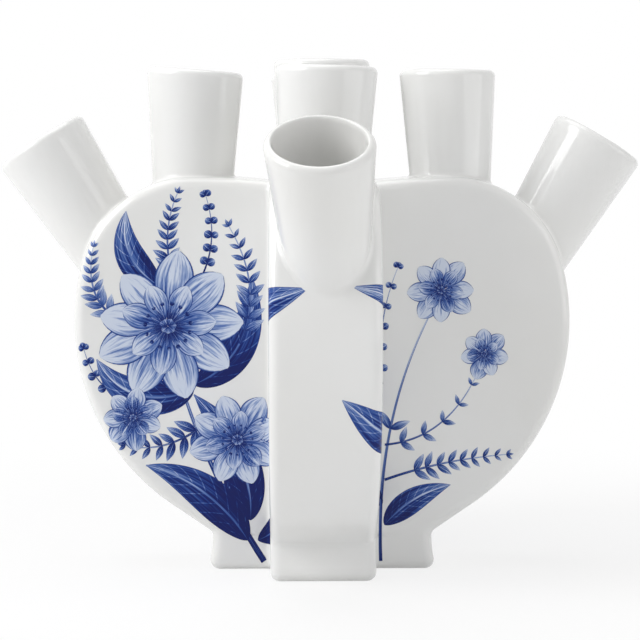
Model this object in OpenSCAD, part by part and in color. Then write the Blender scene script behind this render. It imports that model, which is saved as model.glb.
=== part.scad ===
// Tulipiere: a flower vase of four crossing wings with nine flared spouts.
// Millimetres, +Z up, origin on the table under the crossing, front wing towards -Y.

/* [Wings] */
// Thickness of a wing from face to face
wing_t = 41; // [36:0.5:46]
// Distance from the axis to the widest point of a wing
wing_reach = 97.5; // [90:0.1:106]
// Radius of the big belly curve of a wing
belly_r = 87.5; // [84:0.1:92]
// Depth to which the belly curve runs down below the foot's top
belly_sink = 6.5; // [5:0.1:8]
// Radius of the tighter shoulder curve above the belly
shoulder_r = 45.5; // [40:0.1:50]
// Radius of the shallow curve that dips from the wing top to the crossing
dip_r = 260; // [200:5:320]
// Radius of the soft edge between a wing's flat faces and its rim
edge_r = 4; // [2.5:0.1:4.2]
// Wall of the cast wings and foot
wall = 4; // [3:0.1:5]

/* [Foot] */
// Height of the foot under the wings
foot_h = 17; // [15:0.5:19]
// Half the length of the foot along each wing
foot_reach = 44; // [40:0.5:48]
// Radius of the soft edge where the foot meets the table
toe_r = 3.5; // [1.5:0.1:3.9]
// Thickness of the foot's floor
floor_t = 5; // [4:0.1:7]
// Depth of the recess in the underside
recess_d = 1.2; // [0.6:0.1:2]
// Width of the standing rim round the recess
rim_w = 8; // [6:0.5:10]

/* [Spouts] */
// Outside diameter at the mouth
mouth_d = 38; // [34:0.5:40]
// Flare of the tube wall away from its own axis, in degrees
flare = 4; // [2:0.5:5]
// Wall of the spouts
spout_wall = 2.8; // [2:0.1:3.5]
// Hole through the wing wall under each spout
throat_d = 25; // [18:0.5:26]
// Distance of the inner spouts from the crest of their wing, away from the axis
inner_out = 1; // [0:0.5:4]
// Height of an inner spout above the wing top
inner_len = 42; // [34:0.5:50]
// Rise of the centre spout's rim above the inner rims
center_rise = 4; // [0:0.5:10]
// Place of an outer spout round the shoulder, in degrees above level
outer_at = 32; // [30:0.5:36]
// Length of an outer spout along its axis
outer_len = 42.5; // [38:0.5:48]

/* [Hand setting] */
// Outward tilt of the inner spouts: front, right, back, left
inner_tilt = [0, -2, 0.5, -1.5]; // [-3:0.5:3]
// Outward tilt of the outer spouts: front, right, back, left
outer_tilt = [30, 31, 32, 33]; // [28:0.5:36]
// Sideways lean of the inner spouts: front, right, back, left
inner_lean = [1.5, 0, 2, 0.5]; // [-3:0.5:3]
// Sideways lean of the outer spouts: front, right, back, left
outer_lean = [-3.5, 0.5, 1, -0.5]; // [-4:0.5:4]

/* [Hidden] */
$fn = 96;
glaze = "WhiteSmoke";
// Each side of the vase: its turn from +X, in the order front, right, back, left
FRONT = 0;
RIGHT = 1;
BACK = 2;
LEFT = 3;
turn = [-90, 0, 90, 180];
// Spare length that lets a cutting shape run past what it cuts
past = 20;

// Wing outline in (distance from axis, height): three arcs that meet in tangents.
// The belly hands over to the shoulder where a line from both centres rises 7 in 24.
slope_dir = [0.96, 0.28];
belly_z = foot_h + belly_r - belly_sink;
belly_c = [wing_reach - belly_r, belly_z];
shoulder_c = belly_c + (belly_r - shoulder_r) * slope_dir;
wing_top = shoulder_c.y + shoulder_r;
dip_c = [shoulder_c.x, wing_top - dip_r];

// The shoulder is a full round inside the belly and the dip, which draw the rim in zones beside it
slope_end = belly_c + (belly_r + past) * slope_dir;
low = foot_h - past;
high = wing_top + past;
belly_zone = [[0, low], [slope_end.x, low], slope_end, belly_c, [0, belly_z]];
dip_zone = [[0, foot_h + past], [shoulder_c.x, foot_h + past], [shoulder_c.x, high], [0, high]];
long_arcs = [[belly_c, belly_r, belly_zone], [dip_c, dip_r, dip_zone]];

// Soft ring round a wing: deep enough to overlap the web inside it
band = 2 * edge_r;
web_inset = 1.5 * edge_r;

// Spout seats on the wing outline, as (distance from axis, height)
outer_seat = shoulder_c + shoulder_r * [cos(outer_at), sin(outer_at)];
inner_seat = [shoulder_c.x + inner_out, wing_top];
center_seat = [0, wing_top];
center_len = inner_len + center_rise;
// Length of tube below the seat before it is cut to the wing
sink = 18;

// Stands a shape drawn in the outline plane upright, centred on Y = 0
module upright(thickness) {
    rotate([90, 0, 0])
        linear_extrude(thickness, center = true)
            children();
}

// A flat slab of the lobed outline, set in by a given amount along its curves
module slab(inset, thickness) {
    upright(thickness) {
        translate(shoulder_c) circle(shoulder_r - inset, $fn = 240);
        for (arc = long_arcs)
            intersection() {
                translate(arc[0]) circle(arc[1] - inset, $fn = 480);
                polygon(arc[2]);
            }
    }
}

// A standing ring of the wing's thickness whose two outer edges are soft
module soft_ring(center, radius) {
    flat = wing_t - 2 * edge_r;
    translate([center.x, 0, center.y])
        rotate([90, 0, 0])
            rotate_extrude($fn = 240) {
                translate([radius - band, -wing_t / 2]) square([band - edge_r, wing_t]);
                translate([radius - band, -flat / 2]) square([band, flat]);
                for (side = [-1, 1])
                    translate([radius - edge_r, side * flat / 2])
                        circle(edge_r, $fn = 48);
            }
}

// The outside of a wing as a full block: a flat web, and the soft ring of each arc
module wing_block() {
    slab(web_inset, wing_t);
    soft_ring(shoulder_c, shoulder_r);
    for (arc = long_arcs)
        intersection() {
            soft_ring(arc[0], arc[1]);
            upright(2 * wing_t) polygon(arc[2]);
        }
}

// The quarter of space that belongs to the +X wing, above the foot
module quarter() {
    reach = wing_reach + past;
    translate([0, 0, foot_h])
        linear_extrude(wing_top - foot_h + past)
            polygon([[0, 0], [reach, reach], [reach, -reach]]);
}

// Moves a shape drawn on +Z to a seat on the outline and turns it outwards and sideways
module at_seat(seat, tilt, lean = 0) {
    translate([seat.x, 0, seat.y])
        rotate([-lean, tilt, 0])
            children();
}

// Hole square through the wall at a seat
module throat() {
    translate([0, 0, -sink]) cylinder(d = throat_d, h = 2 * sink);
}

// A flared tube with a rounded lip whose mouth is at the given height above its seat
module tube(len) {
    slope = tan(flare);
    lip_r = spout_wall / 2;
    lip_z = len - lip_r;
    outer_r = mouth_d / 2;
    low_r = outer_r - slope * (lip_z + sink);
    rotate_extrude() {
        polygon([
            [low_r - spout_wall, -sink], [low_r, -sink],
            [outer_r, lip_z], [outer_r - spout_wall, lip_z]
        ]);
        translate([outer_r - lip_r, lip_z]) circle(lip_r, $fn = 48);
    }
}

// One wing: a hollow shell with a mitred inner end, open below and towards the axis
module wing(side) {
    color(glaze)
        rotate([0, 0, turn[side]])
            difference() {
                intersection() {
                    wing_block();
                    quarter();
                }
                slab(wall, wing_t - 2 * wall);
                at_seat(center_seat, 0) throat();
                at_seat(inner_seat, 0) throat();
                at_seat(outer_seat, 90 - outer_at) throat();
            }
}

// An upright spout, saddle-cut to the top of its wing
module spout_inner(side) {
    color(glaze)
        rotate([0, 0, turn[side]])
            difference() {
                at_seat(inner_seat, inner_tilt[side], inner_lean[side]) tube(inner_len);
                slab(0, wing_t);
            }
}

// A leaning spout, saddle-cut to the shoulder of its wing
module spout_outer(side) {
    color(glaze)
        rotate([0, 0, turn[side]])
            difference() {
                at_seat(outer_seat, outer_tilt[side], outer_lean[side]) tube(outer_len);
                slab(0, wing_t);
            }
}

// The spout on the crossing, cut to the dip of all four wings
module spout_center() {
    color(glaze)
        difference() {
            at_seat(center_seat, 0) tube(center_len);
            for (angle = turn)
                rotate([0, 0, angle])
                    intersection() {
                        slab(0, wing_t);
                        quarter();
                    }
        }
}

// Half of the foot's section: a strip from the middle to an outer face with a soft lower edge
module toe_section(half_width) {
    difference() {
        square([half_width, foot_h]);
        translate([half_width - toe_r, 0])
            difference() {
                square(toe_r);
                translate([0, toe_r]) circle(toe_r);
            }
    }
}

// A straight run of the foot's section, the same on both sides of its middle
module toe_run(length, half_width) {
    rotate([90, 0, 0])
        linear_extrude(length, center = true) {
            toe_section(half_width);
            mirror([1, 0]) toe_section(half_width);
        }
}

// One bar of the foot along X, with soft upright corners
module foot_bar() {
    half_wide = wing_t / 2;
    run_x = foot_reach - edge_r;
    run_y = half_wide - edge_r;
    toe_run(2 * run_y, foot_reach);
    rotate([0, 0, 90]) toe_run(2 * run_x, half_wide);
    corners = [[run_x, run_y], [-run_x, run_y], [-run_x, -run_y], [run_x, -run_y]];
    for (i = [0:3])
        translate(corners[i])
            rotate_extrude(angle = 90, start = 90 * i)
                toe_section(edge_r);
}

// Plan of the foot set in by a given amount: a plain cross
module foot_cross(inset) {
    for (angle = [0, 90])
        rotate(angle)
            square([2 * (foot_reach - inset), wing_t - 2 * inset], center = true);
}

// The foot: a cross-shaped tray with a recessed underside
module foot() {
    color(glaze)
        difference() {
            for (angle = [0, 90])
                rotate([0, 0, angle]) foot_bar();
            translate([0, 0, floor_t]) linear_extrude(foot_h) foot_cross(wall);
            translate([0, 0, -past]) linear_extrude(past + recess_d) foot_cross(rim_w);
        }
}

wing(FRONT);  // wing_front
wing(RIGHT);  // wing_right
wing(BACK);  // wing_back
wing(LEFT);  // wing_left
foot();
spout_center();
spout_inner(FRONT);  // spout_inner_front
spout_inner(RIGHT);  // spout_inner_right
spout_inner(BACK);  // spout_inner_back
spout_inner(LEFT);  // spout_inner_left
spout_outer(FRONT);  // spout_outer_front
spout_outer(RIGHT);  // spout_outer_right
spout_outer(BACK);  // spout_outer_back
spout_outer(LEFT);  // spout_outer_left
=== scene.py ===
from math import acos, atan2, cos, pi, radians, sin, tan, tau

import bmesh
import bpy
import numpy as np
from mathutils import Euler, Matrix, Vector


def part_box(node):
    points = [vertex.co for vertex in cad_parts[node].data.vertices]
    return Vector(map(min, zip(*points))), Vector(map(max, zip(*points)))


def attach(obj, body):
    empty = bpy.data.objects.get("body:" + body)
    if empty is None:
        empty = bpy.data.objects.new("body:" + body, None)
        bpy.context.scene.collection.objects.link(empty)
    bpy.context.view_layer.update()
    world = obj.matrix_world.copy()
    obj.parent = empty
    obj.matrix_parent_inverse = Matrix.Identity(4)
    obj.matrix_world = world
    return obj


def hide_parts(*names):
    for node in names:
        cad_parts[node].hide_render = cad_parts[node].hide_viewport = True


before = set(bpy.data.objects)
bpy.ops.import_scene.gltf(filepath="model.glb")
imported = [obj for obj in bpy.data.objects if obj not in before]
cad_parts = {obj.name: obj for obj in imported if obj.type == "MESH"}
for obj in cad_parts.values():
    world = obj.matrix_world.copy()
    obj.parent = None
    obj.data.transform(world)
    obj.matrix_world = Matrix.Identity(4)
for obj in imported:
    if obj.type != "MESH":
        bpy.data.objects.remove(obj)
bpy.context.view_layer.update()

# The four wings are slip-cast half lobes of white clay, hollow, and open below and towards the axis.
# Their rims are soft, and under the belly each runs straight down into the foot. They are mitred and luted
# together at the crossing, where the gloss glaze that is fired over all the pieces leaves a small round.
MM = 0.001

# The sides of the vase, with the degrees that each is turned from +X
SIDES = {"front": -90, "right": 0, "back": 90, "left": 180}

# The outline of a wing: a big belly, a tighter shoulder above it and a shallow dip towards the crossing.
# The belly hands over to the shoulder where a line from both centres rises 7 in 24.
low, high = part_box("wing_right")
half_t = (high.y - low.y) / 2
reach, wing_top = high.x, high.z
belly_r, shoulder_r, dip_r = 87.5 * MM, 45.5 * MM, 260 * MM
belly_z = 98 * MM
slope = np.array([0.96, 0.28])
belly_c = np.array([reach - belly_r, belly_z])
shoulder_c = belly_c + (belly_r - shoulder_r) * slope
dip_c = np.array([shoulder_c[0], wing_top - dip_r])

# Below the belly the rim runs straight at the haunch's angle, and bends into the foot's side in the instep
haunch, instep_r = radians(34.5), 3 * MM
foot_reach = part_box("foot")[1].x
foot_draw = 0.6 * MM
foot_top = foot_reach - foot_draw
under = np.array([sin(haunch), -cos(haunch)])
haunch_end = belly_c + belly_r * under
instep_x = foot_top + instep_r
seam_z = haunch_end[1] - (haunch_end[0] - instep_x) * tan(haunch) - instep_r / cos(haunch)
instep_c = np.array([instep_x, seam_z])

# The soft edge of the rim, the thickness of the clay and the glaze's round in an inside corner
edge_r, wall, corner_r = 4 * MM, 4 * MM, 2.2 * MM

# Lengths below which two points are one
weld, tiny = 2e-6, 1e-7


def add_node(tree, kind, inputs, output=0, **settings):
    """Adds a node to a tree, wires or sets its inputs, and gives back one of its outputs."""
    node = tree.nodes.new(kind)
    for key, value in settings.items():
        setattr(node, key, value)
    for key, value in inputs.items():
        if isinstance(value, bpy.types.NodeSocket):
            tree.links.new(value, node.inputs[key])
        else:
            node.inputs[key].default_value = value
    return node.outputs[output]


def new_surface(name, roughness, noise, bump, glare=0.5):
    """A new material whose surface is not quite even. Gives back the material, its tree, and two outputs
    that its colour may follow: the place on the piece and the noise of the surface."""
    material = bpy.data.materials.new(name)
    material.use_nodes = True
    tree = material.node_tree
    shader = tree.nodes["Principled BSDF"]
    shader.inputs["Roughness"].default_value = roughness
    shader.inputs["IOR"].default_value = 1.5
    shader.inputs["Specular IOR Level"].default_value = glare
    place = add_node(tree, "ShaderNodeTexCoord", {}, "Object")
    uneven = add_node(tree, "ShaderNodeTexNoise", {"Vector": place, **noise})
    relief = add_node(tree, "ShaderNodeBump", {"Height": uneven, **bump})
    tree.links.new(relief, shader.inputs["Normal"])
    return material, tree, place, uneven


def color_by(tree, value, stops):
    """Colours a material by a value that runs through stops of (value, colour)."""
    ramp = tree.nodes.new("ShaderNodeValToRGB")
    tree.links.new(value, ramp.inputs["Fac"])
    elements = ramp.color_ramp.elements
    while len(elements) < len(stops):
        elements.new(0.5)
    for element, (position, color) in zip(elements, stops):
        element.position = position
        element.color = (*color, 1)
    tree.links.new(ramp.outputs["Color"], tree.nodes["Principled BSDF"].inputs["Base Color"])


# The glaze was fired on as a liquid. It lies a little uneven, so that reflections waver,
# and its white is slightly warmer where it is thick.
gloss_waver = {"Scale": 38.0, "Detail": 3.0}
gloss_ripple = {"Strength": 0.35, "Distance": 0.35 * MM}
glaze, glaze_tree, place, _ = new_surface("white_glaze", 0.11, gloss_waver, gloss_ripple)
clouding = add_node(glaze_tree, "ShaderNodeTexNoise", {"Vector": place, "Scale": 16.0, "Detail": 3.0})
color_by(glaze_tree, clouding, [(0.3, (0.800, 0.798, 0.780)), (0.7, (0.830, 0.832, 0.825))])


def arc(center, radius, start, stop, steps):
    """Points along an arc, without its last one."""
    turns = np.linspace(start, stop, steps, endpoint=False)
    return center + radius * np.c_[np.cos(turns), np.sin(turns)]


def outline(inset, stop_x):
    """Points (distance from the axis, height) from the foot, round the lobe, to the crossing at stop_x."""
    instep_steps, straight_steps, belly_steps, shoulder_steps, dip_steps = 8, 6, 64, 36, 30
    handover = atan2(slope[1], slope[0])
    crossing = acos((stop_x - dip_c[0]) / (dip_r - inset))
    instep = arc(instep_c, instep_r + inset, pi, pi / 2 + haunch, instep_steps)
    belly = arc(belly_c, belly_r - inset, haunch - pi / 2, handover, belly_steps)
    shoulder = arc(shoulder_c, shoulder_r - inset, handover, pi / 2, shoulder_steps)
    dip = arc(dip_c, dip_r - inset, pi / 2, crossing, dip_steps)
    instep_end = instep_c - (instep_r + inset) * under
    straight = np.linspace(instep_end, belly[0], straight_steps, endpoint=False)
    last = dip_c + (dip_r - inset) * np.array([cos(crossing), sin(crossing)])
    return np.concatenate([instep, straight, belly, shoulder, dip, last[None]])


def wing_skin(inset, half, soft):
    """Grid of points over a wing: from one inside corner over face, rim and other face to the other corner.
    Columns lie close together in the corner, where the glaze makes its round."""
    corner_steps = np.array([0, 0.4, 0.8, 1.3, 1.9, 2.6, 3.6]) * MM
    face_shares = (0.15, 0.3, 0.45, 0.6, 0.75, 0.9, 0.985)
    edge_columns, rim_columns = 10, 9
    rim = outline(inset + soft, half)
    run = np.r_[0, np.cumsum(np.hypot(*np.diff(rim, axis=0).T))]
    corner_z = rim[0, 1] + (rim[-1, 1] - rim[0, 1]) * run / run[-1]
    corner = np.c_[np.full(len(rim), half), corner_z]
    width = np.maximum(rim[:, :1] - half, tiny)
    shares = [np.minimum(step / width, 1) for step in corner_steps]
    least = shares[-1]
    shares += [np.maximum(share, least) for share in face_shares]
    columns = [(corner + share * (rim - corner), half) for share in shares]
    for turn in np.linspace(0, pi / 2, edge_columns):
        y = half - soft * (1 - cos(turn))
        columns.append((outline(inset + soft * (1 - sin(turn)), y), y))
    for y in np.linspace(half - soft, 0, rim_columns)[1:]:
        columns.append((outline(inset, y), y))
    one = np.stack([np.c_[p[:, 0], np.full(len(p), y), p[:, 1]] for p, y in columns], axis=1)
    other = one[:, -2::-1] * np.array([1, -1, 1])
    return np.concatenate([one, other], axis=1)


def arc_beside(r, up):
    """Centre and radius of the arc of the outline beside a place (distance from the axis, height)."""
    above = (up - belly_c[1]) * slope[0] - (r - belly_c[0]) * slope[1] > 0
    inner = above & (r < shoulder_c[0])
    center = np.where(inner[..., None], dip_c, np.where(above[..., None], shoulder_c, belly_c))
    radius = np.where(inner, dip_r, np.where(above, shoulder_r, belly_r))
    return center, radius


def lobe_distance(along, across, up):
    """Distance outside a full crossing slab: the lobed outline along one axis, soft edged."""
    r = np.abs(along)
    center, radius = arc_beside(r, up)
    a = np.hypot(r - center[..., 0], up - center[..., 1]) - radius + edge_r
    b = np.abs(across) - half_t + edge_r
    return np.hypot(np.maximum(a, 0), np.maximum(b, 0)) + np.minimum(np.maximum(a, b), 0) - edge_r


def crossing_distance(p):
    """Distance outside the two crossing slabs with a round of corner_r in their inside corners."""
    a = lobe_distance(p[..., 0], p[..., 1], p[..., 2])
    b = lobe_distance(p[..., 1], p[..., 0], p[..., 2])
    short = np.hypot(np.maximum(corner_r - a, 0), np.maximum(corner_r - b, 0))
    return np.maximum(corner_r, np.minimum(a, b)) - short


def settle(points):
    """Moves points near the crossing out to the round in the corners, in a few damped steps."""
    rounds, damping, least_pull, nudge = 6, 0.9, 0.2, 1e-6
    close = np.abs(points[..., 0]) - np.abs(points[..., 1]) < 3 * corner_r
    close &= points[..., 2] > seam_z + tiny
    p = points[close]
    for _ in range(rounds):
        gap = crossing_distance(p)
        pull = np.stack([
            (crossing_distance(p + nudge * axis) - crossing_distance(p - nudge * axis)) / (2 * nudge)
            for axis in np.eye(3)
        ], axis=-1)
        p = p - damping * (gap / np.maximum((pull ** 2).sum(-1), least_pull))[..., None] * pull
    points[close] = p
    return points


def clean(mesh, smooth_to=radians(35)):
    """Merges doubles, splits many-sided faces, turns all faces outwards and shades smooth up to an angle."""
    bm = bmesh.new()
    bm.from_mesh(mesh)
    bmesh.ops.remove_doubles(bm, verts=bm.verts, dist=weld)
    bmesh.ops.dissolve_degenerate(bm, edges=bm.edges, dist=tiny)
    bmesh.ops.triangulate(bm, faces=[face for face in bm.faces if len(face.verts) > 4])
    bmesh.ops.recalc_face_normals(bm, faces=bm.faces)
    bm.to_mesh(mesh)
    bm.free()
    mesh.shade_smooth()
    mesh.set_sharp_from_angle(angle=smooth_to)
    return mesh


def shell(outer, inner):
    """A closed shell as a mesh: two grids of points of like size, joined along their borders."""
    rows, columns = outer.shape[:2]
    count = rows * columns
    at = np.arange(count).reshape(rows, columns)
    quads = np.stack([at[:-1, :-1], at[:-1, 1:], at[1:, 1:], at[1:, :-1]], -1).reshape(-1, 4)
    border = np.concatenate([at[0, :-1], at[:-1, -1], at[-1, :0:-1], at[:0:-1, 0]])
    after = np.roll(border, -1)
    edge = np.stack([border, border + count, after + count, after], -1)
    mesh = bpy.data.meshes.new("shell")
    mesh.from_pydata(
        np.concatenate([outer.reshape(-1, 3), inner.reshape(-1, 3)]).tolist(), [],
        np.concatenate([quads, quads[:, ::-1] + count, edge]).tolist())
    return clean(mesh)


def put(name, data):
    """Puts a mesh, a lamp or a camera into the scene as an object of that name."""
    thing = bpy.data.objects.new(name, data)
    bpy.context.scene.collection.objects.link(thing)
    return thing


def show(name, mesh, material):
    """Puts a finished mesh into the scene as a piece of that name, in its material."""
    mesh.name = name
    mesh.materials.clear()
    mesh.materials.append(material)
    return put(name, mesh)


def finished(thing):
    """A plain mesh of an object as its modifiers leave it."""
    return bpy.data.meshes.new_from_object(thing.evaluated_get(bpy.context.evaluated_depsgraph_get()))


def plug(radius, length, matrix):
    """A round cutter on its own axis, for a hole through a wall."""
    bm = bmesh.new()
    bmesh.ops.create_cone(
        bm, cap_ends=True, segments=96, radius1=radius, radius2=radius, depth=length, matrix=matrix)
    mesh = bpy.data.meshes.new("plug")
    bm.to_mesh(mesh)
    bm.free()
    return put("plug", mesh)


# Under each spout the wall has a hole square to it. A seat is (distance from the axis, height).
throat_r, throat_len = 12.5 * MM, 36 * MM
inner_out = 1 * MM
outer_at = radians(32)
center_seat = np.array([0, wing_top])
inner_seat = np.array([shoulder_c[0] + inner_out, wing_top])
outer_seat = shoulder_c + shoulder_r * np.array([cos(outer_at), sin(outer_at)])
holes = [(center_seat, 0), (inner_seat, 0), (outer_seat, pi / 2 - outer_at)]

wing_outside = settle(wing_skin(0, half_t, edge_r))
wing_inside = wing_skin(wall, half_t - wall, 0)
wing_mesh = shell(wing_outside, wing_inside)
uncut = wing_mesh.copy()
blank = show("wing_blank", wing_mesh, glaze)
for seat, tilt in holes:
    at_seat = Matrix.Translation((seat[0], 0, seat[1]))
    cutter = plug(throat_r, throat_len, at_seat @ Matrix.Rotation(tilt, 4, "Y"))
    throat = blank.modifiers.new("throat", "BOOLEAN")
    throat.object = cutter
    throat.solver = "EXACT"
    pierced = finished(blank)
    blank.modifiers.clear()
    blank.data = pierced
    bpy.data.objects.remove(cutter)
wing_mesh = clean(blank.data)
bpy.data.objects.remove(blank)
for side, turn in SIDES.items():
    mesh = wing_mesh.copy()
    mesh.transform(Matrix.Rotation(radians(turn), 4, "Z"))
    wing = show(f"wing_{side}_glazed", mesh, glaze)
    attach(wing, "root")
    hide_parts(f"wing_{side}")

# The foot is a cross-shaped cast tray under the wings that closes the water chamber.
# Its sides draw in a little towards the top and its lower edge is soft.
# It stands on a bare biscuit rim round a shallow recess.
toe_out, toe_r = 1 * MM, 3.5 * MM
floor_z = 5 * MM
recess_z, rim_w, rim_soft = 1.2 * MM, 8 * MM, 0.6 * MM
bend_steps, straight_shares = 9, np.linspace(0.15, 0.85, 6)


def cross_plan(inset, grow):
    """The foot's cross in plan, set in by inset; its arms are longer by grow."""
    far = foot_top + grow
    round_r = max(edge_r - inset, 0)
    back = max(edge_r, inset)
    hollow_r, hollow_c = corner_r + inset, half_t + corner_r
    quarter = []
    for sign, start in ((-1, -pi / 2), (1, 0)):
        for turn in np.linspace(start, start + pi / 2, bend_steps):
            quarter.append((far - back + round_r * cos(turn), sign * (half_t - back) + round_r * sin(turn)))
    for share in straight_shares:
        quarter.append((far - back + share * (hollow_c - far + back), half_t - inset))
    for turn in np.linspace(0, pi / 2, bend_steps):
        quarter.append((hollow_c - hollow_r * sin(turn), hollow_c - hollow_r * cos(turn)))
    for share in straight_shares:
        quarter.append((half_t - inset, hollow_c + share * (far - back - hollow_c)))
    quarter_turns = [[[cos(a), sin(a)], [-sin(a), cos(a)]] for a in (0, pi / 2, pi, -pi / 2)]
    return np.concatenate([np.array(quarter) @ np.array(matrix) for matrix in quarter_turns])


# Levels of (inset, height, growth of the arms): up the tray's inside, down the sides, round the toe
# and over the standing rim into the recess
levels = [(wall, floor_z, 0), (wall, seam_z, 0), (0, seam_z, 0)]
for share in (0.25, 0.5, 0.75, 1):
    levels.append((0, seam_z + (toe_r - seam_z) * share, toe_out * share ** 2))
for turn in np.linspace(0, pi / 2, bend_steps)[1:]:
    levels.append((toe_r * (1 - cos(turn)), toe_r * (1 - sin(turn)), toe_out))
levels += [(rim_w - rim_soft, 0, 0), (rim_w - rim_soft / 3, rim_soft / 3, 0)]
levels += [(rim_w, rim_soft, 0), (rim_w, recess_z, 0)]
loops = []
for inset, z, grow in levels:
    plan = cross_plan(inset, grow)
    loops.append(np.c_[plan, np.full(len(plan), z)])
points = np.stack(loops)
at = np.arange(points.shape[0] * points.shape[1]).reshape(points.shape[:2])
sides = np.stack([at[:-1], np.roll(at[:-1], -1, 1), np.roll(at[1:], -1, 1), at[1:]], -1).reshape(-1, 4)
foot_mesh = bpy.data.meshes.new("foot")
foot_mesh.from_pydata(points.reshape(-1, 3).tolist(), [], sides.tolist() + at[[0, -1]].tolist())
foot = show("foot_glazed", clean(foot_mesh), glaze)

# Bare fired clay: grainy, dull and slightly speckled
clay_grain = {"Scale": 700.0, "Detail": 4.0}
clay_tooth = {"Strength": 0.4, "Distance": 0.1 * MM}
biscuit, biscuit_tree, _, grain = new_surface("bare_biscuit", 0.75, clay_grain, clay_tooth)
color_by(biscuit_tree, grain, [(0.35, (0.64, 0.60, 0.53)), (0.6, (0.75, 0.72, 0.66))])
foot.data.materials.append(biscuit)
table_gap, facing_down = 0.1 * MM, -0.9
for face in foot.data.polygons:
    if face.normal.z < facing_down and face.center.z < table_gap:
        face.material_index = 1
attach(foot, "root")
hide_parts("foot")

# Nine flared spouts, cast in one mould and luted on by hand: one on the crossing, one upright on the top
# of each wing and one leaning out on each shoulder. Each has a thick soft lip, which was trimmed by hand
# and so is not quite level on some, and a thin line of slip wiped into the joint.
mouth_r, spout_wall, flare = 19 * MM, 3.1 * MM, radians(4)
inner_len, center_rise, outer_len = 42 * MM, 4 * MM, 42.5 * MM
lip_height, slip_r = 2.5 * MM, 2 * MM

# Degrees by which the spouts were set outwards (tilt) and sideways (lean)
inner_tilt = {"front": 0, "right": -2, "back": 0.5, "left": -1.5}
inner_lean = {"front": 1.5, "right": 0, "back": 2, "left": 0.5}
outer_tilt = {"front": 30, "right": 31, "back": 32, "left": 33}
outer_lean = {"front": -3.5, "right": 0.5, "back": 1, "left": -0.5}

# Millimetres by which a rim stands higher on its outward side, on its left side seen from the axis,
# and all round, and the mouth that was opened a little wider
rim_trim = {
    "inner_left": (0.8, 0, 0), "inner_right": (-0.75, 0, 0), "inner_back": (0.3, 0.2, 0),
    "outer_front": (0, -0.9, -1.2), "outer_back": (0.2, 0.4, 0)}
wide_mouth = {"outer_front": 0.7 * MM}


class NodePen:
    """Writes a geometry tree: each call adds a node, wires or sets its inputs, and gives back an output."""

    def __init__(self, name, inputs):
        self.tree = bpy.data.node_groups.new(name, "GeometryNodeTree")
        face = self.tree.interface
        self.sockets = {}
        for label, kind in inputs.items():
            socket = face.new_socket(label, in_out="INPUT", socket_type=f"NodeSocket{kind}")
            self.sockets[label] = socket.identifier
        face.new_socket("Geometry", in_out="OUTPUT", socket_type="NodeSocketGeometry")
        self.given = self.tree.nodes.new("NodeGroupInput").outputs

    def add(self, kind, inputs, output=0, **settings):
        return add_node(self.tree, kind, inputs, output, **settings)

    def number(self, operation, a, b=0.0):
        return self.add("ShaderNodeMath", {0: a, 1: b}, operation=operation)

    def vector(self, operation, a, b=(0, 0, 0)):
        return self.add("ShaderNodeVectorMath", {0: a, 1: b}, operation=operation)

    def scaled(self, a, factor):
        return self.add("ShaderNodeVectorMath", {0: a, "Scale": factor}, operation="SCALE")

    def xyz(self, x, y, z):
        return self.add("ShaderNodeCombineXYZ", {0: x, 1: y, 2: z})

    def split(self, a):
        node = self.tree.nodes.new("ShaderNodeSeparateXYZ")
        self.tree.links.new(a, node.inputs[0])
        return node.outputs

    def stretch(self, value, start, stop, to, since=0.0):
        """Runs from one value, since, to another, to, while a third passes from start to stop."""
        return self.add("ShaderNodeMapRange", {
            "Value": value, "From Min": start, "From Max": stop, "To Min": since, "To Max": to})

    def close(self, geometry, material):
        """Ends the tree with real geometry in a material."""
        geometry = self.add("GeometryNodeRealizeInstances", {"Geometry": geometry})
        geometry = self.add("GeometryNodeSetMaterial", {"Geometry": geometry, "Material": material})
        self.tree.links.new(geometry, self.tree.nodes.new("NodeGroupOutput").inputs[0])

    def make(self, values):
        """Runs the tree with these inputs and gives back a plain mesh."""
        holder = put("made", bpy.data.meshes.new("made"))
        run = holder.modifiers.new("made", "NODES")
        run.node_group = self.tree
        for label, value in values.items():
            run[self.sockets[label]] = value
        mesh = finished(holder)
        holder.modifiers.clear()
        bpy.data.objects.remove(holder)
        return mesh


# A spout is a flat sheet that is rolled up: its width goes round the tube, and its length runs up the slip
# fillet and the outside, over the lip, down the bore to the wing, and back under the slip to its start
mould = NodePen("flared_spout", {
    "Body": "Object", "Place": "Vector", "Turn": "Vector", "Length": "Float", "Mouth Radius": "Float",
    "Wall": "Float", "Flare": "Float", "Lip Height": "Float", "Rim Trim": "Vector", "Slip Radius": "Float"})
given, number, vector, scaled, xyz = mould.given, mould.number, mould.vector, mould.scaled, mould.xyz
around, fillet_steps, wall_steps, lip_steps, below_steps = 96, 8, 12, 14, 2
marks = np.cumsum([0, fillet_steps, wall_steps, lip_steps, wall_steps, below_steps]).astype(float)
sheet = mould.add("GeometryNodeMeshGrid", {
    "Size X": 1.0, "Size Y": 1.0, "Vertices X": around + 1, "Vertices Y": int(marks[-1]) + 1})
spot = mould.split(mould.add("GeometryNodeInputPosition", {}))
theta = number("MULTIPLY", number("ADD", spot[0], 0.5), tau)
station = number("MULTIPLY", number("ADD", spot[1], 0.5), marks[-1])
curl, climb, roll, descend, tuck = [
    mould.stretch(station, marks[i], marks[i + 1], to) for i, to in enumerate((1.0, 1.0, pi, 1.0, 1.0))]
ca, sa = number("COSINE", theta), number("SINE", theta)

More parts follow.
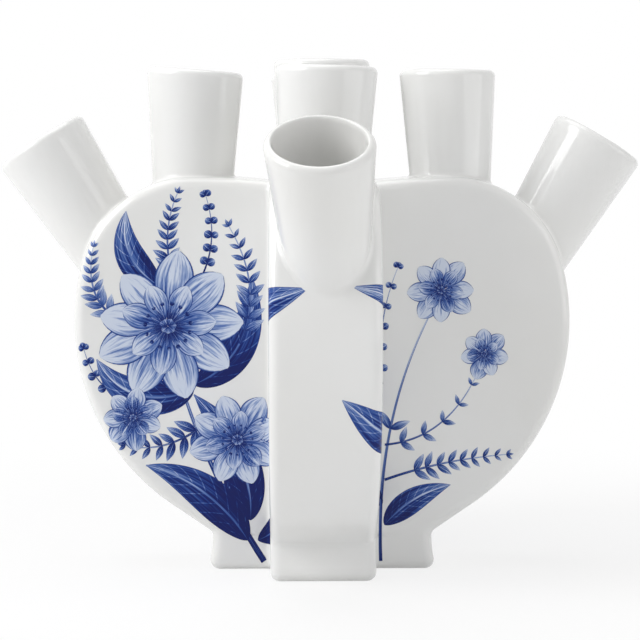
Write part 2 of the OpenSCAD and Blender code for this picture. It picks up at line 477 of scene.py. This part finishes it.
# The rim's height wavers a little by chance, and follows the trim
rim_waver = 0.5 * MM
chance = vector("ADD", xyz(ca, sa, 0.0), scaled(given["Place"], 1 / MM))
uneven = mould.add("ShaderNodeTexNoise", {"Vector": chance, "Scale": 1.1, "Detail": 1.0}, "Fac")
uneven = number("MULTIPLY", number("SUBTRACT", uneven, 0.5), rim_waver)
trim = mould.add(
    "ShaderNodeVectorMath", {0: xyz(ca, sa, 1.0), 1: given["Rim Trim"]}, "Value", operation="DOT_PRODUCT")
lip_z = number("SUBTRACT", given["Length"], given["Lip Height"])
lip_z = number("ADD", lip_z, number("ADD", uneven, trim))


def turned(a):
    """A direction of the tube in the vase's frame."""
    return mould.add(
        "ShaderNodeVectorRotate", {"Vector": a, "Rotation": given["Turn"]}, rotation_type="EULER_XYZ")


def on_ring(radius, height):
    """A point at this angle of the tube, at a radius and a height above the seat, in the vase's frame."""
    point = turned(xyz(number("MULTIPLY", radius, ca), number("MULTIPLY", radius, sa), height))
    return vector("ADD", point, given["Place"])


# The lip is two quarter rounds, and its crest lies nearer to the bore than to the outside
crest_share = 0.75
crown = number("MULTIPLY", given["Wall"], crest_share)
lip_cos = number("COSINE", roll)
before = number("MULTIPLY", number("MAXIMUM", lip_cos, 0.0), crown)
beyond = number("MULTIPLY", number("MINIMUM", lip_cos, 0.0), number("SUBTRACT", given["Wall"], crown))
in_lip = number("SUBTRACT", crown, number("ADD", before, beyond))
lip_rise = number("MULTIPLY", given["Lip Height"], number("SINE", roll))
crest = on_ring(number("SUBTRACT", given["Mouth Radius"], in_lip), number("ADD", lip_z, lip_rise))
outside = on_ring(number("ADD", given["Mouth Radius"], given["Slip Radius"]), lip_z)

# The walls drop along the flare onto the wings, and the slip's toe sinks a hair into them
longest_drop, toe_sink, tube_weld = 0.2, 0.03 * MM, 0.004 * MM
inward = number("MULTIPLY", number("SINE", given["Flare"]), -1.0)
downward = number("MULTIPLY", number("COSINE", given["Flare"]), -1.0)
fall = turned(xyz(number("MULTIPLY", ca, inward), number("MULTIPLY", sa, inward), downward))
body = mould.add("GeometryNodeObjectInfo", {"Object": given["Body"]}, "Geometry")


def dropped(source):
    """Where a line down the tube's wall meets the wings."""
    return mould.add("GeometryNodeRaycast", {
        "Target Geometry": body, "Source Position": source, "Ray Direction": fall,
        "Ray Length": longest_drop}, "Hit Position")


joint = dropped(crest)
toe = vector("ADD", dropped(outside), scaled(fall, toe_sink))
heel = vector("SUBTRACT", joint, scaled(fall, given["Slip Radius"]))
rest = number("SUBTRACT", 1.0, curl)
middle = number("MULTIPLY", number("MULTIPLY", rest, curl), 2.0)
fillet = vector("ADD", scaled(joint, middle), scaled(heel, number("MULTIPLY", curl, curl)))
fillet = vector("ADD", scaled(toe, number("MULTIPLY", rest, rest)), fillet)
up = vector("ADD", fillet, scaled(vector("SUBTRACT", crest, heel), climb))
down = vector("ADD", up, scaled(vector("SUBTRACT", joint, up), descend))
ends = vector("ADD", down, scaled(vector("SUBTRACT", toe, down), tuck))
tube = mould.add("GeometryNodeSetPosition", {"Geometry": sheet, "Position": ends})
tube = mould.add("GeometryNodeMergeByDistance", {"Geometry": tube, "Distance": tube_weld})
mould.close(tube, glaze)

skins = bmesh.new()
for turn in SIDES.values():
    skin = uncut.copy()
    skin.transform(Matrix.Rotation(radians(turn), 4, "Z"))
    skins.from_mesh(skin)
    bpy.data.meshes.remove(skin)
luted_mesh = bpy.data.meshes.new("luted_wings")
skins.to_mesh(luted_mesh)
skins.free()
luted = put("luted_wings", luted_mesh)

spouts = [("center", center_seat, 0, 0, 0, inner_len + center_rise)]
for side, turn in SIDES.items():
    spouts.append((f"inner_{side}", inner_seat, inner_tilt[side], inner_lean[side], turn, inner_len))
    spouts.append((f"outer_{side}", outer_seat, outer_tilt[side], outer_lean[side], turn, outer_len))
for name, seat, tilt, lean, turn, length in spouts:
    spread = wide_mouth.get(name, 0)
    mesh = mould.make({
        "Body": luted, "Place": Matrix.Rotation(radians(turn), 3, "Z") @ Vector((seat[0], 0, seat[1])),
        "Turn": (radians(-lean), radians(tilt), radians(turn)), "Length": length,
        "Mouth Radius": mouth_r + spread, "Wall": spout_wall, "Flare": flare + spread / length,
        "Lip Height": lip_height, "Rim Trim": Vector(rim_trim.get(name, (0, 0, 0))) * MM,
        "Slip Radius": slip_r})
    spout = show(f"spout_{name}_glazed", clean(mesh, smooth_to=radians(50)), glaze)
    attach(spout, "root")
    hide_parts(f"spout_{name}")
bpy.data.objects.remove(luted)

# The blue decoration is cobalt painting under the gloss, on both faces of each inside corner.
# It is a loose spray of open blossoms, broad leaves, ferns and berries that bends round the corners
# and over the rims. A full spray and a light one take turns round the vase.
paint, paint_tree, _, _ = new_surface("cobalt_painting", 0.09, gloss_waver, gloss_ripple, glare=0.2)


def brush(kind, inputs, output=0, **settings):
    """Adds a node to the paint and gives back one of its outputs."""
    return add_node(paint_tree, kind, inputs, output, **settings)


def sums(operation, a, b=0.0):
    """One step of reckoning in the paint."""
    return brush("ShaderNodeMath", {0: a, 1: b}, operation=operation)


def passing(value, start, stop, to=1.0):
    """Runs from 0 to a value while another passes from start to stop."""
    return brush("ShaderNodeMapRange", {"Value": value, "From Min": start, "From Max": stop, "To Max": to})


# Each stroke knows its place along and across the petal or leaf, and its shade from 0, pale, to 1, dark
along, across, shade = [
    brush("ShaderNodeAttribute", {}, "Fac", attribute_name=name) for name in ("along", "across", "shade")]
aside = sums("ABSOLUTE", across)

# The streaks of the brush run lengthwise and differ with the shade, and the paint thins out to the tip
streaks_along, streaks_across, streaks_change = 1.6, 5.5, 60.0
streak_depth, tip_from, tip_depth = 1.9, 0.42, 0.8
streak_place = brush("ShaderNodeCombineXYZ", {
    0: sums("MULTIPLY", along, streaks_along), 1: sums("MULTIPLY", across, streaks_across),
    2: sums("MULTIPLY", shade, streaks_change)})
streaks = brush("ShaderNodeTexNoise", {
    "Vector": streak_place, "Scale": 1.3, "Detail": 3.0, "Roughness": 0.6})
tone = sums("ADD", shade, sums("MULTIPLY", sums("SUBTRACT", streaks, 0.5), streak_depth))
tone = sums("ADD", tone, sums("MULTIPLY", sums("SUBTRACT", tip_from, along), tip_depth))

# The dark leaves have a pale midrib and ribs aslant from it, and every stroke has a dark edge
rib_turns, rib_slant, vein_depth = 26.0, 5.0, 0.5
leafy = passing(shade, 0.5, 0.7)
midrib = passing(aside, 0.11, 0.03)
rib_wave = sums("SUBTRACT", sums("MULTIPLY", along, rib_turns), sums("MULTIPLY", aside, rib_slant))
ribs = passing(sums("ABSOLUTE", sums("SINE", rib_wave)), 0.22, 0.08, 0.6)
veins = sums("MULTIPLY", sums("MAXIMUM", midrib, ribs), leafy)
tone = sums("SUBTRACT", tone, sums("MULTIPLY", veins, vein_depth))
tone = sums("MAXIMUM", tone, passing(aside, 0.86, 0.97, 0.8))
color_by(paint_tree, tone, [
    (0.0, (0.62, 0.68, 0.80)), (0.25, (0.27, 0.36, 0.60)), (0.5, (0.055, 0.125, 0.39)),
    (0.75, (0.006, 0.034, 0.22)), (1.0, (0.001, 0.008, 0.11))])


def store(pen, geometry, name, value, domain="POINT"):
    """Writes a value on a geometry for the paint to read."""
    return pen.add("GeometryNodeStoreNamedAttribute", {"Geometry": geometry, "Name": name, "Value": value},
                   data_type="FLOAT", domain=domain)


def by_chance(pen, least, most, seed):
    """A number by chance between two limits, the same in each run."""
    return pen.add("FunctionNodeRandomValue", {2: least, 3: most, 8: seed}, 1, data_type="FLOAT")


def swell(pen, along):
    """The outline of a petal or leaf: the share of its full width at a place along it."""
    tip_share = 0.02
    wave = pen.number("SINE", pen.number("MULTIPLY", pen.number("POWER", along, pen.given["Widest"]), pi))
    return pen.number("POWER", pen.number("MAXIMUM", wave, tip_share), pen.given["Point"])


def blade(pen):
    """A petal or small leaf lying along +X."""
    flat = pen.add("GeometryNodeMeshGrid", {
        "Size X": 1.0, "Size Y": 1.0, "Vertices X": 15, "Vertices Y": 7})
    spot = pen.split(pen.add("GeometryNodeInputPosition", {}))
    along, across = pen.number("ADD", spot[0], 0.5), pen.number("MULTIPLY", spot[1], 2.0)
    half = pen.number("MULTIPLY", swell(pen, along), pen.number("MULTIPLY", pen.given["Width"], 0.5))
    flat = store(pen, store(pen, flat, "along", along), "across", across)
    return pen.add("GeometryNodeSetPosition", {"Geometry": flat, "Position": pen.xyz(
        pen.number("MULTIPLY", along, pen.given["Length"]), pen.number("MULTIPLY", across, half), 0.0)})


def ribbon(pen, path, width, scale, steps, spread):
    """A flat band along a path; spread says how near to its edges the brush's own edge lines lie."""
    factor = pen.add("GeometryNodeSplineParameter", {}, "Factor")
    half = pen.number("MULTIPLY", width, 0.5)
    section = pen.add("GeometryNodeCurvePrimitiveLine", {
        "Start": pen.xyz(pen.number("MULTIPLY", half, -1.0), 0.0, 0.0), "End": pen.xyz(half, 0.0, 0.0)})
    section = pen.add("GeometryNodeResampleCurve", {"Curve": section, "Count": steps})
    section = store(pen, section, "across", pen.stretch(factor, 0.0, 1.0, spread, -spread))
    band = pen.add("GeometryNodeCurveToMesh", {
        "Curve": store(pen, path, "along", factor), "Profile Curve": section, "Scale": scale(factor)})
    return store(pen, band, "shade", pen.given["Shade"])


def stacked(pen, instances, shade_seed, lift=0.0):
    """Gives each blade its own shade and lays it a hair above the one before."""
    hair, shade_spread = 0.0015 * MM, 0.12
    tint = pen.number("ADD", pen.given["Shade"], by_chance(pen, -shade_spread, shade_spread, shade_seed))
    instances = store(pen, instances, "shade", tint, "INSTANCE")
    raised = pen.number("MULTIPLY", pen.add("GeometryNodeInputIndex", {}), hair)
    return pen.add("GeometryNodeTranslateInstances", {
        "Instances": instances, "Translation": pen.xyz(0.0, 0.0, pen.number("ADD", raised, lift))})


def joined(pen, parts):
    """Several geometries as one."""
    node = pen.tree.nodes.new("GeometryNodeJoinGeometry")
    for part in parts:
        pen.tree.links.new(part, node.inputs[0])
    return node.outputs[0]


def stalk(pen, points):
    """A bent line from the tree's start to its end."""
    return pen.add("GeometryNodeCurveQuadraticBezier", {
        "Resolution": points, "Start": pen.given["Start"], "Middle": pen.given["Bend"],
        "End": pen.given["End"]})


SHAPE = {"Width": "Float", "Widest": "Float", "Point": "Float", "Shade": "Float"}
PATH = {"Start": "Vector", "Bend": "Vector", "End": "Vector"}

# A ring of petals round a heart, each turned and sized a little by chance
ring = NodePen("petal_ring", {"Petals": "Int", "Heart": "Float", "Length": "Float", "Seed": "Int", **SHAPE})
petal_sway, petal_least, petal_most = 0.13, 0.9, 1.08
heart = ring.add("GeometryNodeMeshCircle", {
    "Vertices": ring.given["Petals"], "Radius": ring.given["Heart"]})
petal_root = ring.split(ring.add("GeometryNodeInputPosition", {}))
sway = by_chance(ring, -petal_sway, petal_sway, ring.given["Seed"])
facing = ring.number("ADD", ring.number("ARCTAN2", petal_root[1], petal_root[0]), sway)
petals = ring.add("GeometryNodeInstanceOnPoints", {
    "Points": heart, "Instance": blade(ring), "Rotation": ring.xyz(0.0, 0.0, facing),
    "Scale": by_chance(ring, petal_least, petal_most, ring.given["Seed"])})
ring.close(stacked(ring, petals, ring.given["Seed"]), paint)

# A broad leaf along its midrib
broad = NodePen("broad_leaf", {**PATH, **SHAPE})
broad_band = ribbon(
    broad, stalk(broad, points=64), broad.given["Width"], lambda factor: swell(broad, factor),
    steps=21, spread=1.0)
broad.close(broad_band, paint)

# A thinning stem with a leaf on each side at every bud and one at its end
row = NodePen("leaf_row", {
    "Leaves": "Int", "First": "Float", "Sweep": "Float", "Taper": "Float", "Stem": "Float",
    "Length": "Float", "Seed": "Int", **PATH, **SHAPE})
stem_end, leaf_sway, leaf_least, leaf_most, row_lift = 0.35, 0.12, 0.88, 1.1, 0.0007 * MM
stem = stalk(row, points=110)
parts = [ribbon(
    row, stem, row.given["Stem"], lambda factor: row.stretch(factor, 0.0, 1.0, stem_end, 1.0),
    steps=2, spread=0.7)]
buds = row.add("GeometryNodeTrimCurve", {"Curve": stem, 2: row.given["First"], 3: 1.0})
buds = row.add("GeometryNodeResampleCurve", {"Curve": buds, "Count": row.given["Leaves"]})
tangent = row.split(row.add("GeometryNodeInputTangent", {}))
ahead = row.number("ARCTAN2", tangent[1], tangent[0])
factor = row.add("GeometryNodeSplineParameter", {}, "Factor")
size = row.number("SUBTRACT", 1.0, row.number("MULTIPLY", row.given["Taper"], factor))
small = blade(row)
for sign, seed in ((1, 1), (-1, 2), (0, 3)):
    sway = by_chance(row, -leaf_sway, leaf_sway, row.given["Seed"])
    swing = row.number("MULTIPLY", row.number("ADD", row.given["Sweep"], sway), float(sign))
    chosen = {}
    if sign == 0:
        chosen["Selection"] = row.add("GeometryNodeCurveEndpointSelection", {"Start Size": 0})
    leaves = row.add("GeometryNodeInstanceOnPoints", {
        "Points": buds, "Instance": small, "Rotation": row.xyz(0.0, 0.0, row.number("ADD", ahead, swing)),
        "Scale": row.number("MULTIPLY", size, by_chance(row, leaf_least, leaf_most, seed)), **chosen})
    parts.append(stacked(row, leaves, seed, row_lift * seed))
row.close(joined(row, parts), paint)


def lay(points, wing_axis, next_axis):
    """Lays a drawing on the vase: (distance from the inside corner, height, lift) on two neighbouring wings.
    Distances below 0 go on the next wing. The drawing bends through the corner and over the soft rims."""
    p, up, lift = points.T
    r = half_t + np.abs(p)
    center, radius = arc_beside(r, up)
    away = np.c_[r, up] - center
    dist = np.hypot(*away.T)
    above_foot = up > 2 * seam_z
    over = np.where(above_foot, np.maximum(edge_r - (radius - dist), 0), 0)
    turn = np.minimum(over / edge_r, pi / 2)
    past_edge = np.maximum(over - edge_r * pi / 2, 0)
    level = half_t - edge_r * (1 - np.cos(turn)) - past_edge + lift * np.cos(turn)
    rim_r = radius - edge_r * (1 - np.sin(turn)) + lift * np.sin(turn)
    on_rim = center + away / dist[:, None] * rim_r[:, None]
    flat = np.where((over > 0)[:, None], on_rim, np.c_[r, up])
    first, second = np.where(p > 0, flat[:, 0], level), np.where(p > 0, level, flat[:, 0])
    bow = (np.clip(p / corner_r, -1, 1) + 1) * pi / 4
    hollow = half_t + corner_r
    in_bow = np.abs(p) < corner_r
    first = np.where(in_bow, hollow - (corner_r - lift) * np.cos(bow), first)
    second = np.where(in_bow, hollow - (corner_r - lift) * np.sin(bow), second)
    plan = first[:, None] * np.array(wing_axis) + second[:, None] * np.array(next_axis)
    return np.c_[plan, flat[:, 1]]


def on_path(start, bend, end):
    """The three points of a stalk, as inputs of a tree."""
    points = {"Start": start, "Bend": bend, "End": end}
    return {label: (at[0] * MM, at[1] * MM, 0) for label, at in points.items()}


# Motifs are drawn flat, in millimetres. A place is (distance from the inside corner, height), and
# distances below 0 lie on the next wing. Each motif is lifted a hair of its own, so that no two lie level.
blossom_lift, blossom_layer = 0.07 * MM, 0.02 * MM
leaf_lift, leaf_layer, leaf_layers = 0.03 * MM, 0.002 * MM, 9
fern_lift, fern_layer, fern_layers = 0.031 * MM, 0.004 * MM, 5


def blossom(x, z, across, petals, tint, seed):
    """An open flower seen full on: broad petals, a ring of small ones, a dark heart and a ring of dots."""
    radius = across / 2 * MM
    petal, dot = (1.25, 0.62), (1.0, 0.5)
    # How many, then as shares of the radius where they start, their length and width, then shade and form
    rings = [
        (petals, 0.12, 0.88, 4.6 / petals, tint, petal),
        (petals - 2, 0.10, 0.56, 3.2 / petals, tint + 0.2, petal),
        (18, 0.03, 0.25, 0.06, 0.95, petal),
        (15, 0.29, 0.06, 0.06, 1.0, dot),
        (7, 0.005, 0.11, 0.1, 0.8, petal)]
    meshes = []
    for layer, (count, start, length, width, shade, (widest, point)) in enumerate(rings):
        mesh = ring.make({
            "Petals": count, "Heart": start * radius, "Length": length * radius, "Width": width * radius,
            "Widest": widest, "Point": point, "Shade": shade, "Seed": seed + layer})
        place = Matrix.Translation((x * MM, z * MM, blossom_lift + blossom_layer * layer))
        mesh.transform(place @ Matrix.Rotation(seed, 4, "Z"))
        meshes.append(mesh)
    return meshes


def leaf(start, bend, end, width, tint, seed):
    """A broad leaf along a bent midrib."""
    mesh = broad.make({
        **on_path(start, bend, end), "Width": width * MM, "Widest": 0.75, "Point": 0.85, "Shade": tint})
    mesh.transform(Matrix.Translation((0, 0, leaf_lift + leaf_layer * (seed % leaf_layers))))
    return [mesh]


def fern(start, bend, end, leaves, length, width, tint, seed, first=0.12, sweep=0.85, taper=0.65, stem=1.1,
         widest=0.8, point=0.9):
    """A stalk with pairs of leaves, smaller towards the tip. Round leaves make it a sprig of berries."""
    mesh = row.make({
        **on_path(start, bend, end), "Leaves": leaves, "First": first, "Sweep": sweep, "Taper": taper,
        "Stem": stem * MM, "Length": length * MM, "Width": width * MM, "Widest": widest, "Point": point,
        "Shade": tint, "Seed": seed})
    mesh.transform(Matrix.Translation((0, 0, fern_lift + fern_layer * (seed % fern_layers))))
    return [mesh]


BERRY = {"widest": 1.0, "point": 0.5, "sweep": 1.0, "stem": 0.7, "taper": 0.3}
full_spray = (
    fern((2.5, 3.5), (26, 40), (38, 84), 2, 20, 8, 0.85, 11, first=0.35, stem=2.6, taper=0.2)
    + leaf((9, 12), (24, 36), (49, 42), 15, 0.95, 41)
    + leaf((8, 20), (6, 44), (30, 70), 15, 1.0, 42)
    + leaf((5, 12), (-12, 20), (-33, 34), 13, 0.95, 43)
    + leaf((30, 72), (56, 62), (68, 84), 14, 0.85, 44)
    + leaf((30, 74), (6, 84), (7, 116), 14, 0.95, 45)
    + leaf((42, 112), (60, 122), (56, 142), 12, 0.8, 46)
    + fern((36, 112), (44, 130), (36, 149), 10, 8, 3.2, 0.65, 12)
    + fern((60, 100), (73, 108), (69, 128), 9, 8, 3.2, 0.5, 13)
    + fern((26, 58), (42, 46), (57, 50), 7, 10, 4, 0.75, 14)
    + fern((12, 90), (2, 112), (16, 136), 10, 9, 3.6, 0.6, 16)
    + fern((26, 118), (20, 132), (25, 148), 6, 3.6, 3.6, 0.85, 17, **BERRY)
    + fern((56, 70), (68, 70), (73, 88), 5, 3.6, 3.6, 0.85, 18, **BERRY)
    + fern((-4, 62), (-42, 66), (-66, 86), 11, 11, 4.4, 0.65, 19)
    + fern((-6, 40), (-26, 40), (-44, 50), 7, 11, 4.4, 0.75, 20)
    + leaf((-14, 66), (-36, 70), (-44, 90), 12, 0.9, 47)
    + leaf((-50, 104), (-66, 106), (-87, 120), 13, 0.9, 40)
    + blossom(40, 97, 56, 9, 0.22, 3)
    + blossom(13, 52, 38, 8, 0.34, 6)
    + blossom(54, 61, 25, 7, 0.42, 9)
    + blossom(-42, 97, 36, 8, 0.3, 5))
light_spray = (
    fern((2.5, 3.5), (0, 62), (24, 106), 2, 9, 3.4, 0.65, 31, first=0.5, stem=1.5, taper=0.2)
    + leaf((4, 18), (14, 30), (30, 34), 10, 0.85, 48)
    + leaf((3, 26), (-8, 38), (-24, 38), 10, 0.85, 49)
    + fern((4, 50), (30, 52), (42, 82), 6, 7, 2.8, 0.55, 32, stem=0.9)
    + fern((4, 36), (26, 44), (52, 46), 9, 8, 3, 0.6, 33, first=0.25)
    + fern((3, 74), (0, 98), (9, 120), 6, 3.2, 3.2, 0.75, 34, **BERRY)
    + fern((2, 40), (-30, 44), (-54, 62), 2, 8, 3, 0.6, 35, first=0.45, stem=1.3, taper=0.2)
    + fern((-16.5, 43.7), (-40, 62), (-37, 108), 3, 8, 3, 0.6, 38, first=0.4, stem=1.1, taper=0.3)
    + fern((1, 62), (-10, 74), (-12, 100), 8, 8, 3.2, 0.55, 39)
    + leaf((-50, 60), (-66, 62), (-87, 74), 14, 0.85, 36)
    + leaf((-40, 106), (-60, 108), (-84, 120), 11, 0.8, 37)
    + blossom(26, 111, 27, 8, 0.25, 4)
    + blossom(43, 86, 20, 7, 0.32, 7)
    + blossom(-37, 110, 26, 8, 0.3, 8))
CORNERS = [
    ("front_left", full_spray, (-1, 0), (0, -1)), ("front_right", light_spray, (1, 0), (0, -1)),
    ("back_right", full_spray, (1, 0), (0, 1)), ("back_left", light_spray, (-1, 0), (0, 1))]
for corner_name, drawing, wing_axis, next_axis in CORNERS:
    bm = bmesh.new()
    for motif in drawing:
        bm.from_mesh(motif)
    bm.normal_update()
    for face in bm.faces:
        if face.normal.z < 0:
            face.normal_flip()
    mesh = bpy.data.meshes.new(corner_name)
    bm.to_mesh(mesh)
    bm.free()
    flat = np.empty(3 * len(mesh.vertices))
    mesh.vertices.foreach_get("co", flat)
    mesh.vertices.foreach_set("co", lay(flat.reshape(-1, 3), wing_axis, next_axis).ravel())
    if wing_axis[0] * next_axis[1] > 0:
        mesh.flip_normals()
    mesh.shade_smooth()
    spray = show(f"spray_{corner_name}", mesh, paint)
    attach(spray, "root")

# The studio: a white paper floor that keeps the vase's soft shadow and runs out to white,
# a large softbox to the left, a broad dim fill on the right and a wide softbox overhead.
scene = bpy.context.scene
scene.view_settings.view_transform = "Standard"
room_light = 0.37
floor_half = 3.0
shadow_share, fade_from, fade_to = 0.78, 0.12, 0.36


def seen_directly(tree):
    """Gives 1 for rays from the camera and for what gloss and glass mirror, 0 for light on other things."""
    rays = tree.nodes.new("ShaderNodeLightPath").outputs
    total = rays["Is Camera Ray"]
    for kind in ("Is Glossy Ray", "Is Transmission Ray"):
        total = add_node(tree, "ShaderNodeMath", {0: total, 1: rays[kind]}, operation="MAXIMUM")
    return total


def mixed(tree, share, first, second, output):
    """Mixes two shaders by a share and wires the result to the tree's output."""
    mix = add_node(tree, "ShaderNodeMixShader", {"Fac": share, 1: first, 2: second})
    tree.links.new(mix, tree.nodes[output].inputs["Surface"])


world = bpy.data.worlds.new("studio")
scene.world = world
world.use_nodes = True
sky = world.node_tree
room = sky.nodes["Background"]
room.inputs["Color"].default_value = (1, 1, 1, 1)
room.inputs["Strength"].default_value = room_light
white = add_node(sky, "ShaderNodeBackground", {"Color": (1, 1, 1, 1)})
mixed(sky, seen_directly(sky), room.outputs[0], white, "World Output")

paper = bpy.data.materials.new("white_paper")
paper.use_nodes = True
paper_tree = paper.node_tree
matt = paper_tree.nodes["Principled BSDF"]
matt.inputs["Base Color"].default_value = (0.9, 0.9, 0.9, 1)
matt.inputs["Roughness"].default_value = 0.9
matt.inputs["Specular IOR Level"].default_value = 0
bright = add_node(paper_tree, "ShaderNodeEmission", {})
on_floor = add_node(paper_tree, "ShaderNodeTexCoord", {}, "Object")
away = add_node(paper_tree, "ShaderNodeVectorMath", {0: on_floor}, "Value", operation="LENGTH")
fade = add_node(paper_tree, "ShaderNodeMapRange", {
    "Value": away, "From Min": fade_from, "From Max": fade_to, "To Min": shadow_share, "To Max": 1.0},
    interpolation_type="SMOOTHSTEP")
white_share = add_node(
    paper_tree, "ShaderNodeMath", {0: fade, 1: seen_directly(paper_tree)}, operation="MULTIPLY")
mixed(paper_tree, white_share, matt.outputs[0], bright, "Material Output")
floor_mesh = bpy.data.meshes.new("floor")
floor_mesh.from_pydata([
    (-floor_half, -floor_half, 0), (floor_half, -floor_half, 0),
    (floor_half, floor_half, 0), (-floor_half, floor_half, 0)], [], [(0, 1, 2, 3)])
floor = show("floor", floor_mesh, paper)


def softbox(name, place, aim, size, power):
    """A soft lamp of that width and height in metres, turned to a point."""
    lamp = bpy.data.lights.new(name, "AREA")
    lamp.shape = "RECTANGLE"
    lamp.size, lamp.size_y = size
    lamp.energy = power
    stand = put(name, lamp)
    stand.location = place
    stand.rotation_euler = (Vector(aim) - Vector(place)).to_track_quat("-Z", "Y").to_euler()


softbox("window_left", (-1.3, -0.5, 0.9), (0, 0, 0.1), (0.9, 1.0), 15)
softbox("fill_right", (1.05, -0.55, 0.3), (0, 0, 0.1), (1.1, 0.9), 4.4)
softbox("overhead", (-0.2, 0.1, 1.4), (0, 0, 0), (1.0, 1.0), 7.5)

# The camera stands where the photograph was taken from, with the same field of view
sensor_w = 36
focal_px, picture_px = 2102.8, 640
pitch, azimuth = radians(5.04), radians(0.845)
camera_data = bpy.data.cameras.new("camera")
camera_data.sensor_width = sensor_w
camera_data.lens = sensor_w * focal_px / picture_px
camera_data.clip_start = 0.05
camera = put("camera", camera_data)
camera.location = (-13.1 * MM, -841.0 * MM, 171.7 * MM)
camera.rotation_euler = Euler((pi / 2 - pitch, 0, -azimuth))
scene.camera = camera
